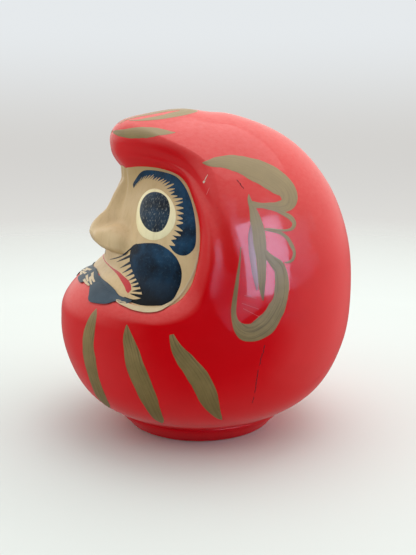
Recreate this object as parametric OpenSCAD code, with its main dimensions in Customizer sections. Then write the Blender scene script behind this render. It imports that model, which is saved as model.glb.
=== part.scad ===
// Hooded round doll of pasted paper, weighted in the base, standing on a low foot.
// Units are millimetres. +Z is up, the doll faces -Y, and the origin is the middle of the foot's underside.
// The skin is measured outward from a core point on the side seam, where the front and rear halves meet.

/* [Body] */
// Height of the core point above the table
core_z = 128; // [124:1:132]
// Distance of the side seam behind the middle of the foot
seam_y = 12; // [8:1:16]
// Thickness of the pasted paper shell
wall = 2.6; // [2:0.1:3.2]

/* [Face] */
// Upward tilt of the middle of the face opening, in degrees
face_tilt = 20; // [18:1:22]
// Radius of the face panel at its outer sides, from the core point
face_side_r = 101; // [98:1:103]
// Height of the raised white of each eye
eye_rise = 2.4; // [1:0.1:3]
// How far the tip of the nose stands out from the face panel
nose_rise = 17; // [14:0.5:18]

/* [Foot] */
// Radius of the crease where the body meets the foot
crease_r = 66; // [62:1:68]
// Radius of the foot on the table
foot_r = 58.5; // [57:0.5:60]
// Height of the foot
foot_h = 13; // [11:0.5:15]
// Thickness of the foot's wall at the table
foot_wall = 7; // [5:0.5:9]
// Thickness of the paper disc that closes the foot
disc_t = 2; // [1:0.5:3]

/* [Inside] */
// Height of the clay weight above the closing disc
weight_h = 33; // [26:1:38]
// Width of the paper strips pasted inside the seam, in degrees about the core point
tape_span = 12; // [8:1:16]
// Thickness of the paper strips
tape_t = 0.9; // [0.6:0.1:1.2]

/* [Hidden] */

core = [0, seam_y, core_z];
glue = 0.05;

// Distance of the skin from the core point down the front, side and back.
// Each pair is [share of the climb from crease to crown, distance].
FRONT = [[0, 140], [0.07, 142.2], [0.17, 136], [0.25, 127.3], [0.30, 119.5], [0.34, 105.5], [0.37, 91],
         [0.42, 87], [0.52, 96], [0.62, 114], [0.70, 130.7], [0.74, 129.8], [0.785, 126.5], [0.84, 122],
         [0.91, 118], [1, 112.5]];
SIDE = [[0, 133], [0.10, 132], [0.22, 125], [0.35, 116], [0.50, 111.5], [0.65, 109.5], [0.80, 110],
        [0.90, 111], [1, 112.5]];
BACK = [[0, 130], [0.10, 127.5], [0.22, 117], [0.35, 106.5], [0.50, 103], [0.65, 105], [0.80, 108.5],
        [0.90, 110], [1, 112.5]];

// Edge of the face opening: [turn about the face's middle from the right, angle out from the middle].
FACE_EDGE = [[-90, 22.5], [-60, 27], [-40, 38.5], [-30, 49.5], [-24, 58.5], [-18, 64.5], [-10, 67.3],
             [0, 67], [12, 64.5], [28, 58.3], [42, 51], [54, 37], [90, 26]];
// Width of the rolled lip round the opening, how far it turns in, and how sharply, by the same turn
LIP_WIDTH = [[-90, 8], [-40, 9], [0, 13], [40, 20], [90, 22]];
LIP_DEPTH = [[-90, 0.5], [-60, 2], [-45, 4], [-30, 5], [0, 7], [35, 15], [60, 25], [90, 29]];
LIP_SHARP = [[-90, 1], [0, 1], [35, 1.25], [60, 1.2], [90, 1]];
// Degrees about the core point that span one millimetre of lip width
lip_spread = 0.573;

// Distance of the face panel from the core point down its middle, by elevation
FACE_MIDDLE = [[-12, 97], [-5, 94], [-2.5, 90.5], [0.5, 85], [4, 84], [8, 84], [14, 83], [22, 84],
               [31, 86.5], [38, 89.5], [42, 92], [46, 95.5], [50, 99]];
// Turn at which the face panel reaches its side radius
face_side_turn = 66;
// Hollows beside the nose: depth, and [turn, elevation] of their middle and span
hollow_depth = 3;
hollow_at = [25, 21];
hollow_span = [9, 12];

// Nose ridge by elevation: share of nose_rise, and half width in degrees
NOSE_RIDGE = [[7.4, 0], [8, 0.14], [9.6, 0.5], [12.3, 0.86], [14.8, 1], [17.8, 0.98], [21.8, 0.78],
              [26.2, 0.52], [30.2, 0.42], [35, 0.34], [39, 0.2], [43, 0]];
NOSE_WIDTH = [[7, 11], [12, 11], [18, 9], [24, 7.5], [32, 6.5], [43, 6]];
// Nose wings: rise, and [turn, elevation] of their middle and span, cut off below by elevation
wing_rise = 9.5;
wing_at = [17, 13.5];
wing_span = [11, 7.5];
WING_CUT = [[8.4, 0], [8.8, 0.4], [9.4, 0.7], [10.4, 0.9], [12, 1], [60, 1]];
// Middle and half sizes of the nose's pear-shaped footprint on the face panel, in degrees
nose_mid = 25;
nose_half_h = 18;
nose_half_w = 29;
// How much wider the footprint gets towards its lower end
nose_flare = 17;

// Middle and half sizes of the eyes, in degrees about the core point
eye_turn = 43.5;
eye_climb = 28;
eye_half_w = 13.6;
eye_half_h = 11.3;
// How far the eyes lean towards the nose, in degrees for each degree of climb
eye_lean = 0.32;

// Steps of the shell grids
seam_steps = 17;
crease_steps = 26;
skin_steps = 14;
lip_steps = 7;
rear_steps = 8;
panel_steps = 11;
tape_steps = 12;

// Smooth curve through points [t, value], level at its last point
function gap(p, i) = p[i + 1][0] - p[i][0];
function grade(p, i) = (p[i + 1][1] - p[i][1]) / gap(p, i);
function slope(p, i) =
    i == 0 ? grade(p, 0)
    : i == len(p) - 1 ? 0
    : (grade(p, i - 1) * gap(p, i) + grade(p, i) * gap(p, i - 1)) / (gap(p, i - 1) + gap(p, i));
function span(p, t, i = 0) = i >= len(p) - 2 || t < p[i + 1][0] ? i : span(p, t, i + 1);
function smooth(p, t) =
    let(i = span(p, t), h = gap(p, i), u = min(1, max(0, (t - p[i][0]) / h)), v = u * u * (3 - 2 * u))
    p[i][1] * (1 - v) + p[i + 1][1] * v
    + h * u * (1 - u) * (slope(p, i) * (1 - u) - slope(p, i + 1) * u);

// Directions from the core point: turn is 0 at the front and 90 at the doll's left side, climb is elevation
function heading(turn, climb) = [sin(turn) * cos(climb), -cos(turn) * cos(climb), sin(climb)];
function turn_of(d) = atan2(d.x, -d.y);
function climb_of(d) = asin(max(-1, min(1, d.z / norm(d))));

// The body's skin: an exact circle at the crease, blended from the three profiles above it
function crease_reach(turn) =
    seam_y * cos(turn) + sqrt(pow(seam_y * cos(turn), 2) - pow(seam_y, 2) + pow(crease_r, 2));
function crease_climb(turn) = atan2(foot_h - core_z, crease_reach(turn));
function crease_distance(turn) = norm([crease_reach(turn), core_z - foot_h]);
function blend(turn, front, side, back) =
    side + (front - side) * pow(max(0, cos(turn)), 2) + (back - side) * pow(max(0, -cos(turn)), 2);
function skin_distance(d) =
    let(turn = turn_of(d),
        low = crease_climb(turn),
        share = max(0, (climb_of(d) - low) / (90 - low)),
        foot_gap = crease_distance(turn) - blend(turn, FRONT[0][1], SIDE[0][1], BACK[0][1]))
    blend(turn, smooth(FRONT, share), smooth(SIDE, share), smooth(BACK, share))
    + foot_gap * pow(1 - share, 6);
function skin_point(d) = core + skin_distance(d) * d / norm(d);

// Outward unit normal of the skin along direction d
function unit(v) = v / norm(v);
function skin_normal(d) =
    let(a = unit(cross(abs(d.z) > 0.9 ? [0, 1, 0] : [0, 0, 1], d)), b = cross(d, a), e = 0.01)
    unit(cross(skin_point(d + e * a) - skin_point(d - e * a), skin_point(d + e * b) - skin_point(d - e * b)));

// Directions fanned out round the middle of the face or of the back
face_axis = heading(0, face_tilt);
face_up = heading(180, 90 - face_tilt);
rear_axis = [0, 1, 0];
function fan(axis, up, turn, out) = cos(out) * axis + sin(out) * (cos(turn) * [1, 0, 0] + sin(turn) * up);
function fan_turn(up, d) = atan2(d * up, d.x);
function fan_out(axis, d) = acos(max(-1, min(1, d * axis)));

// Directions of the outer edge of each half: up one side of the seam, down the other, and along the crease
function seam_heading(side, i) =
    heading(90 * side, crease_climb(90) + (90 - crease_climb(90)) * i / seam_steps);
function half_edge(facing) = concat(
    [for (i = [0:seam_steps]) seam_heading(1, i)],
    [for (i = [1:seam_steps]) seam_heading(-1, seam_steps - i)],
    [for (i = [1:crease_steps - 1])
        let(turn = facing > 0 ? -90 + 180 * i / crease_steps : -90 - 180 * i / crease_steps)
        heading(turn, crease_climb(turn))]);
function on_seam(i) = i <= 2 * seam_steps;
function on_crease(i) = i >= 2 * seam_steps || i == 0;
function trimmed(p, i) = [p.x, on_seam(i) ? seam_y : p.y, on_crease(i) ? foot_h : p.z];

// The lip: the skin rolls in along a quarter turn from its crest to the edge of the face panel
function folded(turn) = abs(turn) <= 90 ? turn : (turn > 0 ? 180 : -180) - turn;
function edge_out(turn) = smooth(FACE_EDGE, folded(turn));
function crest_out(turn) = edge_out(turn) + smooth(LIP_WIDTH, folded(turn)) * lip_spread;
function lip_point(turn, roll) =
    let(sharp = smooth(LIP_SHARP, folded(turn)),
        out = crest_out(turn) + (edge_out(turn) - crest_out(turn)) * pow(sin(roll), sharp),
        d = fan(face_axis, face_up, turn, out),
        drop = smooth(LIP_DEPTH, folded(turn)) * (1 - pow(max(0, cos(roll)), sharp)))
    core + (skin_distance(d) - drop) * d;
function lip_normal(turn, roll) =
    unit(cross(lip_point(turn, roll - 0.5) - lip_point(turn, min(90, roll + 0.5)),
               lip_point(turn + 0.2, roll) - lip_point(turn - 0.2, roll)));

// The face panel follows its middle profile, widens to the side radius and meets the lip all round
function lip_end_distance(turn) = norm(lip_point(turn, 90) - core);
function bell(d, at, span, power) =
    exp(-pow(pow((abs(turn_of(d)) - at[0]) / span[0], 2) + pow((climb_of(d) - at[1]) / span[1], 2), power));
function face_form(d) =
    let(w = min(1, pow(sin(min(90, abs(turn_of(d)))) / sin(face_side_turn), 2)))
    smooth(FACE_MIDDLE, climb_of(d)) * (1 - w) + face_side_r * w
    - hollow_depth * bell(d, hollow_at, hollow_span, 1);
function face_distance(d) =
    let(turn = fan_turn(face_up, d),
        rim = fan(face_axis, face_up, turn, edge_out(turn)),
        near = min(1, fan_out(face_axis, d) / edge_out(turn)))
    face_form(d) + (lip_end_distance(turn) - glue - face_form(rim)) * pow(near, 5);
function face_point(d, rise) = core + (face_distance(d) + rise) * d / norm(d);

// Solid from rings of points: capped by a tip at each end, or with its last ring joined to its first
module wrap(rings, tips = []) {
    n = len(rings[0]);
    m = len(rings);
    capped = len(tips) == 2;
    last = capped ? m - 2 : m - 1;
    sides = [for (k = [0:last], i = [0:n - 1])
        let(j = (i + 1) % n, up = (k + 1) % m, a = k * n + i, b = k * n + j, c = up * n + i, d = up * n + j)
        each [[a, c, b], [b, c, d]]];
    caps = !capped ? [] : [for (i = [0:n - 1])
        each [[m * n, i, (i + 1) % n], [m * n + 1, (m - 1) * n + (i + 1) % n, (m - 1) * n + i]]];
    polyhedron(points = concat([for (r = rings) each r], tips), faces = concat(sides, caps), convexity = 6);
}

function front_out(edge, i, k) =
    let(turn = fan_turn(face_up, edge[i]), far = fan_out(face_axis, edge[i]))
    far + (crest_out(turn) - far) * k / skin_steps;

// Each ring of a shell is a list of [point, outward normal]
function front_ring(edge, k) = [for (i = [0:len(edge) - 1])
    let(d = k == 0 ? edge[i] : fan(face_axis, face_up, fan_turn(face_up, edge[i]), front_out(edge, i, k)))
    [skin_point(d), skin_normal(d)]];
function lip_ring(edge, k) = [for (d = edge)
    let(turn = fan_turn(face_up, d), roll = 90 * k / lip_steps)
    [lip_point(turn, roll), lip_normal(turn, roll)]];
function outside(skin) = [for (r = skin) [for (p = r) p[0]]];
function inside(skin) = [for (k = [len(skin) - 1:-1:0]) [for (p = skin[k]) p[0] - wall * p[1]]];

module front_shell() {
    edge = half_edge(1);
    skin = [for (k = [0:skin_steps]) front_ring(edge, k)];
    inner = inside(skin);
    seam = [for (i = [0:len(edge) - 1]) trimmed(inner[skin_steps][i], i)];
    color("crimson") wrap(concat(outside(skin), [for (k = [0:skin_steps - 1]) inner[k]], [seam]));
}

// Rolled lip of the hood, from its crest to the edge of the face panel
module hood_lip() {
    edge = half_edge(1);
    skin = concat([front_ring(edge, skin_steps)], [for (k = [1:lip_steps]) lip_ring(edge, k)]);
    color("crimson") wrap(concat(outside(skin), inside(skin)));
}

module rear_shell() {
    edge = half_edge(-1);
    up = [0, 0, 1];
    every = [0:len(edge) - 1];
    skin = [for (k = [0:rear_steps - 1]) [for (i = every)
        let(out = fan_out(rear_axis, edge[i]) * (1 - k / rear_steps),
            d = k == 0 ? edge[i] : fan(rear_axis, up, fan_turn(up, edge[i]), out))
        [skin_point(d), skin_normal(d)]]];
    outer = [for (k = [rear_steps - 1:-1:0]) [for (p = skin[k]) p[0]]];
    inner = [for (k = [0:rear_steps - 1]) [for (i = every)
        let(p = skin[k][i][0] - wall * skin[k][i][1])
        k == 0 ? trimmed(p, i) : p]];
    tip = skin_point(rear_axis);
    color("crimson") wrap(concat(outer, inner), [tip, tip - wall * skin_normal(rear_axis)]);
}

module face_panel() {
    edge = half_edge(1);
    turns = [for (d = edge) fan_turn(face_up, d)];
    front = [for (k = [1:panel_steps]) [for (turn = turns)
        let(d = fan(face_axis, face_up, turn, edge_out(turn) * k / panel_steps)) face_point(d, 0)]];
    margin = [for (turn = turns)
        core + (lip_end_distance(turn) - glue) * fan(face_axis, face_up, turn, edge_out(turn) + 1.3)];
    rim_back = [for (p = margin) p - wall * unit(p - core)];
    back = [for (k = [panel_steps:-1:1]) [for (turn = turns)
        let(d = fan(face_axis, face_up, turn, edge_out(turn) * k / panel_steps)) face_point(d, -wall)]];
    color("wheat") wrap(concat(front, [margin, rim_back], back),
                        [face_point(face_axis, 0), face_point(face_axis, -wall)]);
}

// Eye: a low leaning mound on the face panel
function eye_heading(side, share, a) =
    let(rise = eye_half_h * share * sin(side * a))
    heading(side * (eye_turn + eye_half_w * share * cos(side * a) - eye_lean * rise), eye_climb + rise);

module eye(side) {
    n = 28;
    function ring(share, rise) =
        [for (i = [0:n - 1]) face_point(eye_heading(side, share, 360 * i / n), rise)];
    dome = [for (s = [0.3, 0.6, 0.85, 0.97]) ring(s, eye_rise * sqrt(1 - s * s))];
    middle = heading(eye_turn * side, eye_climb);
    color("ivory") wrap(concat(dome, [ring(1, glue), ring(0.5, glue)]),
                        [face_point(middle, eye_rise), face_point(middle, glue)]);
}

module left_eye() { eye(1); }
module right_eye() { eye(-1); }

// The nose: a ridge down the middle, with a wing on each side
function nose_stand(d) =
    let(climb = climb_of(d),
        ridge = nose_rise * smooth(NOSE_RIDGE, climb) * exp(-pow(turn_of(d) / smooth(NOSE_WIDTH, climb), 2)),
        wing = wing_rise * smooth(WING_CUT, climb) * bell(d, wing_at, wing_span, 2))
    max(0, ridge) + wing;

module nose() {
    n = 36;
    shares = [0.14, 0.28, 0.42, 0.56, 0.7, 0.85, 1];
    thin_edge = 0.5;
    function nose_heading(s, a) =
        heading((nose_half_w - nose_flare * sin(a)) * s * sign(cos(a)) * pow(abs(cos(a)), 0.6),
                nose_mid + nose_half_h * s * sin(a));
    top = [for (s = shares) [for (i = [0:n - 1])
        let(d = nose_heading(s, 360 * i / n)) face_point(d, max(thin_edge, nose_stand(d)))]];
    foot = [for (s = [1, 0.5]) [for (i = [0:n - 1]) face_point(nose_heading(s, 360 * i / n), glue)]];
    middle = heading(0, nose_mid);
    color("tan") wrap(concat(top, foot), [face_point(middle, nose_stand(middle)), face_point(middle, glue)]);
}

// Foot: a leaning ring with a rounded lower edge
module foot_ring() {
    edge_r = 3;
    color("firebrick") rotate_extrude($fn = 96) polygon(concat(
        [[foot_r - foot_wall, 0]],
        [for (a = [-90:15:-15]) [foot_r - edge_r + edge_r * cos(a), edge_r + edge_r * sin(a)]],
        [[crease_r - 1.5, foot_h - 4], [crease_r, foot_h], [crease_r - foot_wall - 2, foot_h]]));
}

module bottom_disc() {
    color("burlywood") translate([0, 0, 0.8]) cylinder(r = foot_r - foot_wall, h = disc_t, $fn = 96);
}

// Clay weight: fills the foot above the disc and domes up inside the shell
module base_weight() {
    floor_z = 0.8 + disc_t;
    low_r = foot_r - foot_wall;
    brim_r = crease_r - foot_wall - 2;
    dome_h = weight_h - (foot_h - floor_z);
    color("gray") rotate_extrude($fn = 96) polygon(concat(
        [[0, floor_z], [low_r, floor_z], [brim_r - 1, foot_h]],
        [for (a = [0:10:90]) [(brim_r - 1) * cos(a), foot_h + dome_h * sin(a)]]));
}

// Strip pasted over the seam from inside, between two elevations on one side
function tape_point(rise, across, depth) =
    let(d = unit(cos(across) * [cos(rise), 0, sin(rise)] + sin(across) * [0, 1, 0]))
    skin_point(d) - depth * skin_normal(d);
module seam_tape(from, to) {
    acrosses = [-tape_span / 2, 0, tape_span / 2];
    rings = [for (k = [0:tape_steps])
        let(rise = from + (to - from) * k / tape_steps)
        concat(
            [for (w = acrosses) tape_point(rise, w, wall + glue)],
            [for (w = [acrosses[2], acrosses[1], acrosses[0]]) tape_point(rise, w, wall + glue + tape_t)])];
    function centre(r) = (r[0] + r[1] + r[2] + r[3] + r[4] + r[5]) / 6;
    color("linen") wrap(rings, [centre(rings[0]), centre(rings[tape_steps])]);
}

module seam_tape_left() { seam_tape(-50, 39); }
module seam_tape_crown() { seam_tape(41, 139); }
module seam_tape_right() { seam_tape(141, 230); }

front_shell();
hood_lip();
rear_shell();
face_panel();
nose();
left_eye();
right_eye();
foot_ring();
base_weight();
bottom_disc();
seam_tape_left();
seam_tape_right();
seam_tape_crown();
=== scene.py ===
"""Looks of a hooded papier-mache doll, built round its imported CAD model.

The shapes follow the CAD model's own rules, on finer grids: the skin is measured outward from a core point
in the plane of the side seam. Lengths are in metres unless a name or comment says millimetres, and angles
are in degrees. A place on the doll is (turn, climb): turn 0 is the front and 90 the doll's left side, and
climb is the elevation about the core point. The paint is thin closed pieces that lie on the skin, the face
and the eyes.
"""

import bmesh
import bpy
import numpy as np
from mathutils import Matrix, Vector
from mathutils.geometry import delaunay_2d_cdt


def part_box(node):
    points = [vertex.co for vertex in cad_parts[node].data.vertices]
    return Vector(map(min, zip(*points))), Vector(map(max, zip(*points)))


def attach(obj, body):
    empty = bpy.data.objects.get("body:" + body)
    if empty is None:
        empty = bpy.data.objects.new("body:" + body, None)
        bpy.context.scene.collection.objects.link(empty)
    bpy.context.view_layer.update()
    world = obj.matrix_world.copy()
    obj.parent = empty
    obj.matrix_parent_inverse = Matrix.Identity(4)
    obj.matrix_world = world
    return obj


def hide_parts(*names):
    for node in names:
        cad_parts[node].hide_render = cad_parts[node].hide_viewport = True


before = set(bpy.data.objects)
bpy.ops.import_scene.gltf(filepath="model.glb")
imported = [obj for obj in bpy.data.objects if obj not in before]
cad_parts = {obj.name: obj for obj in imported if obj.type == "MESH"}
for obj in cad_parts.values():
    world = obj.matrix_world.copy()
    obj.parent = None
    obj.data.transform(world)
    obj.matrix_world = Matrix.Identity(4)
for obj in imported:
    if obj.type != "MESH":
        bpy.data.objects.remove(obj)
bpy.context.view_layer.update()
MM = 0.001
rng = np.random.default_rng(7)

# ---- sizes from the frame
foot_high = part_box("foot_ring")[1]
rear_low, rear_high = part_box("rear_shell")
CROWN_R = 112.5 * MM
FOOT_H = foot_high.z
CREASE_R = foot_high.x
SEAM_Y = rear_low.y
CORE = np.array([0.0, SEAM_Y, rear_high.z - CROWN_R])
WALL = 2.6 * MM

# ---- the doll's form, as in the CAD model
FRONT = [(0, 140), (0.07, 142.2), (0.17, 136), (0.25, 127.3), (0.30, 119.5), (0.34, 105.5), (0.37, 91),
         (0.42, 87), (0.52, 96), (0.62, 114), (0.70, 130.7), (0.74, 129.8), (0.785, 126.5), (0.84, 122),
         (0.91, 118), (1, 112.5)]
SIDE = [(0, 133), (0.10, 132), (0.22, 125), (0.35, 116), (0.50, 111.5), (0.65, 109.5), (0.80, 110),
        (0.90, 111), (1, 112.5)]
BACK = [(0, 130), (0.10, 127.5), (0.22, 117), (0.35, 106.5), (0.50, 103), (0.65, 105), (0.80, 108.5),
        (0.90, 110), (1, 112.5)]
FACE_EDGE = [(-90, 22.5), (-60, 27), (-40, 38.5), (-30, 49.5), (-24, 58.5), (-18, 64.5), (-10, 67.3), (0, 67),
             (12, 64.5), (28, 58.3), (42, 51), (54, 37), (90, 26)]
LIP_WIDTH = [(-90, 8), (-40, 9), (0, 13), (40, 20), (90, 22)]
LIP_DEPTH = [(-90, 0.5), (-60, 2), (-45, 4), (-30, 5), (0, 7), (35, 15), (60, 25), (90, 29)]
LIP_SHARP = [(-90, 1), (0, 1), (35, 1.25), (60, 1.2), (90, 1)]
FACE_MIDDLE = [(-12, 97), (-5, 94), (-2.5, 90.5), (0.5, 85), (4, 84), (8, 84), (14, 83), (22, 84),
               (31, 86.5), (38, 89.5), (42, 92), (46, 95.5), (50, 99)]
FACE_SIDE_R, FACE_SIDE_TURN = 101, 66
FACE_TILT = 20
# Powers of the curves by which the skin meets the foot's crease and the face meets the end of the lip
FOOT_EASE, FACE_EASE = 6, 5
# Degrees that a millimetre spans, seen from 100 mm away
DEGREES_PER_MM = 0.573
HOLLOW_DEPTH, HOLLOW_TURN, HOLLOW_CLIMB = 3.0, 25, 21
HOLLOW_SPAN_TURN, HOLLOW_SPAN_CLIMB = 9, 12
NOSE_RIDGE = [(7.4, 0), (8, 0.14), (9.6, 0.5), (12.3, 0.86), (14.8, 1), (17.8, 0.98), (21.8, 0.78),
              (26.2, 0.52), (30.2, 0.42), (35, 0.34), (39, 0.2), (43, 0)]
NOSE_RISE = 17
NOSE_WIDTH = [(7, 11), (12, 11), (18, 9), (24, 7.5), (32, 6.5), (43, 6)]
WING_RISE, WING_TURN, WING_CLIMB, WING_SPAN_TURN, WING_SPAN_CLIMB = 9.5, 17, 13.5, 11, 7.5
WING_CUT = [(8.4, 0), (8.8, 0.4), (9.4, 0.7), (10.4, 0.9), (12, 1), (60, 1)]
EYE_TURN, EYE_CLIMB, EYE_HALF_W, EYE_HALF_H, EYE_LEAN, EYE_RISE = 43.5, 28, 13.6, 11.3, 0.32, 2.4


def smooth(points, t):
    """Smooth curve through points (t, value), level at its last point."""
    x, y = np.array(points, float).T
    h = np.diff(x)
    g = np.diff(y) / h
    m = np.concatenate([[g[0]], (g[:-1] * h[1:] + g[1:] * h[:-1]) / (h[:-1] + h[1:]), [0.0]])
    t = np.asarray(t, float)
    i = np.clip(np.searchsorted(x, t, side="right") - 1, 0, len(x) - 2)
    u = np.clip((t - x[i]) / h[i], 0, 1)
    v = u * u * (3 - 2 * u)
    return y[i] * (1 - v) + y[i + 1] * v + h[i] * u * (1 - u) * (m[i] * (1 - u) - m[i + 1] * u)


def cosd(a):
    return np.cos(np.radians(a))


def sind(a):
    return np.sin(np.radians(a))


def unit(v):
    return v / np.linalg.norm(v, axis=-1, keepdims=True)


def heading(turn, climb):
    """Direction from the core point: turn 0 is the front, 90 the doll's left side; climb is elevation."""
    turn, climb = np.broadcast_arrays(np.asarray(turn, float), np.asarray(climb, float))
    return np.stack([sind(turn) * cosd(climb), -cosd(turn) * cosd(climb), sind(climb)], -1)


def turn_of(d):
    return np.degrees(np.arctan2(d[..., 0], -d[..., 1]))


def climb_of(d):
    return np.degrees(np.arcsin(np.clip(d[..., 2] / np.linalg.norm(d, axis=-1), -1, 1)))


def blend(turn, front, side, back):
    return (side + (front - side) * np.maximum(0, cosd(turn)) ** 2
            + (back - side) * np.maximum(0, -cosd(turn)) ** 2)


def crease_reach(turn):
    return SEAM_Y * cosd(turn) + np.sqrt((SEAM_Y * cosd(turn)) ** 2 - SEAM_Y ** 2 + CREASE_R ** 2)


def crease_climb(turn):
    return np.degrees(np.arctan2(FOOT_H - CORE[2], crease_reach(turn)))


def skin_distance(d):
    """Distance of the skin from the core point along unit directions d, in metres."""
    turn = turn_of(d)
    low = crease_climb(turn)
    share = np.clip((climb_of(d) - low) / (90 - low), 0, 1)
    drop = CORE[2] - FOOT_H
    foot_gap = np.hypot(crease_reach(turn), drop) - blend(turn, FRONT[0][1], SIDE[0][1], BACK[0][1]) * MM
    profile = blend(turn, smooth(FRONT, share), smooth(SIDE, share), smooth(BACK, share)) * MM
    return profile + foot_gap * (1 - share) ** FOOT_EASE


def skin_point(d):
    return CORE + skin_distance(d)[..., None] * d


# Directions fanned out round the middle of the face or of the back
RIGHT = np.array([1.0, 0, 0])
FACE_AXIS = heading(0, FACE_TILT)
FACE_UP = heading(180, 90 - FACE_TILT)
REAR_AXIS, REAR_UP = np.array([0, 1.0, 0]), np.array([0, 0, 1.0])


def fan(axis, up, turn, out):
    turn, out = np.broadcast_arrays(np.asarray(turn, float), np.asarray(out, float))
    side = cosd(turn)[..., None] * RIGHT + sind(turn)[..., None] * up
    return cosd(out)[..., None] * axis + sind(out)[..., None] * side


def fan_turn(up, d):
    return np.degrees(np.arctan2(d @ up, d[..., 0]))


def fan_out(axis, d):
    return np.degrees(np.arccos(np.clip(d @ axis, -1, 1)))


def folded(turn):
    """Turn about the face's middle on the doll's left, for curves that serve both sides."""
    turn = np.asarray(turn, float)
    return np.where(np.abs(turn) <= 90, turn, np.where(turn > 0, 180 - turn, -180 - turn))


def edge_out(turn):
    return smooth(FACE_EDGE, folded(turn))


def crest_out(turn):
    return edge_out(turn) + smooth(LIP_WIDTH, folded(turn)) * DEGREES_PER_MM


def lip_point(turn, roll):
    """Point of the rolled lip: roll 0 is its crest and 90 the edge of the face panel."""
    sharp = smooth(LIP_SHARP, folded(turn))
    out = crest_out(turn) + (edge_out(turn) - crest_out(turn)) * sind(roll) ** sharp
    d = fan(FACE_AXIS, FACE_UP, turn, out)
    r = skin_distance(d) - smooth(LIP_DEPTH, folded(turn)) * MM * (1 - np.maximum(0, cosd(roll)) ** sharp)
    return CORE + r[..., None] * d


def lip_end_distance(turn):
    return np.linalg.norm(lip_point(turn, 90.0) - CORE, axis=-1)


def face_form(d):
    turn, climb = np.abs(turn_of(d)), climb_of(d)
    w = np.minimum(1, (sind(np.minimum(90, turn)) / sind(FACE_SIDE_TURN)) ** 2)
    hollow = HOLLOW_DEPTH * np.exp(-((turn - HOLLOW_TURN) / HOLLOW_SPAN_TURN) ** 2
                                   - ((climb - HOLLOW_CLIMB) / HOLLOW_SPAN_CLIMB) ** 2)
    return (smooth(FACE_MIDDLE, climb) * (1 - w) + FACE_SIDE_R * w - hollow) * MM


def face_distance(d):
    turn = fan_turn(FACE_UP, d)
    rim = fan(FACE_AXIS, FACE_UP, turn, edge_out(turn))
    near = np.minimum(1, fan_out(FACE_AXIS, d) / edge_out(turn))
    return face_form(d) + (lip_end_distance(turn) - face_form(rim)) * near ** FACE_EASE


def face_point(d):
    return CORE + face_distance(d)[..., None] * d


def nose_rise(d):
    """How far the nose stands out of the face along directions d, in metres."""
    turn, climb = np.abs(turn_of(d)), climb_of(d)
    ridge = NOSE_RISE * smooth(NOSE_RIDGE, climb) * np.exp(-(turn / smooth(NOSE_WIDTH, climb)) ** 2)
    wing = WING_RISE * np.exp(-(((turn - WING_TURN) / WING_SPAN_TURN) ** 2
                                + ((climb - WING_CLIMB) / WING_SPAN_CLIMB) ** 2) ** 2)
    return np.maximum(ridge, 0) * MM + wing * MM * smooth(WING_CUT, climb)


# Bead and valley that run round the lip, by turn about the face's middle: degrees out from the face's edge,
# height or depth in mm, and half width in degrees
BEAD_OUT = [(-90, 6), (-12, 6.2), (0, 5), (14, 3.4), (30, 1.6), (50, 1.1), (90, 1)]
BEAD_RISE = [(-90, 0), (-60, 0), (-30, 0.5), (0, 0.9), (30, 0.8), (60, 0.6), (90, 0.3)]
BEAD_SPAN = [(-90, 2.5), (0, 2), (20, 1.5), (40, 0.8), (90, 0.8)]
VALLEY_OUT = [(-90, 11), (-8, 11), (8, 9.3), (17, 7.2), (26, 5.3), (40, 3.2), (55, 2.9), (90, 2.6)]
VALLEY_DEPTH = [(-90, 0), (-50, 0), (-15, 0.6), (10, 1.3), (40, 1.6), (60, 1.2), (90, 0.5)]
VALLEY_SPAN = [(-90, 4), (0, 3.5), (20, 2.2), (40, 1.3), (90, 1.2)]
# Degrees from the face's edge over which both fade in
DETAIL_FADE = 0.8


def lip_detail(turn, past_edge):
    """Rise of the bead less the depth of the valley, in metres."""
    turn = folded(turn)

    def band(size, out, half_width):
        across = (past_edge - smooth(out, turn)) / smooth(half_width, turn)
        return smooth(size, turn) * np.exp(-across ** 2)

    bead = band(BEAD_RISE, BEAD_OUT, BEAD_SPAN)
    valley = band(VALLEY_DEPTH, VALLEY_OUT, VALLEY_SPAN)
    return (bead - valley) * np.clip(past_edge / DETAIL_FADE, 0, 1) * MM


# Frown folds of the forehead: turn and climb of the middle, two spans in degrees, and rise in mm
FROWNS = [(4, 41, 2.2, 7, 0.9), (9.5, 40, 2.2, 7, -1.1), (14, 41, 2.5, 6, 0.5)]


def frown(d):
    turn, climb = np.abs(turn_of(d)), climb_of(d)
    return sum(rise * np.exp(-((turn - t) / wide) ** 2 - ((climb - c) / tall) ** 2)
               for t, c, wide, tall, rise in FROWNS) * MM


def lip_drop(turn, past_edge):
    """How far the rolled lip lies inside the skin, past_edge degrees out from the edge of the face."""
    width = crest_out(turn) - edge_out(turn)
    sharp = smooth(LIP_SHARP, folded(turn))
    left = np.clip(1 - past_edge / width, 0, 1)
    return smooth(LIP_DEPTH, folded(turn)) * MM * (1 - (1 - left ** (2 / sharp)) ** (sharp / 2))


def outer_distance(d):
    """Distance of the doll's outer surface (skin, lip, or face with its nose) along unit directions d."""
    turn = fan_turn(FACE_UP, d)
    past_edge = fan_out(FACE_AXIS, d) - edge_out(turn)
    shell = skin_distance(d) - lip_drop(turn, past_edge) + lip_detail(turn, past_edge)
    return np.where(past_edge > 0, shell, face_distance(d) + frown(d) + nose_rise(d))


# How far up and down bridging paint looks for the step at the face's edge, as a share of the distance
BRIDGE = 0.008


def bridging_distance(d):
    """The largest outer distance along d and a little above and below it, for paint that crosses the step."""
    return np.max([outer_distance(unit(d + np.array([0, 0, side * BRIDGE]))) for side in (-1, 0, 1)], axis=0)


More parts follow.
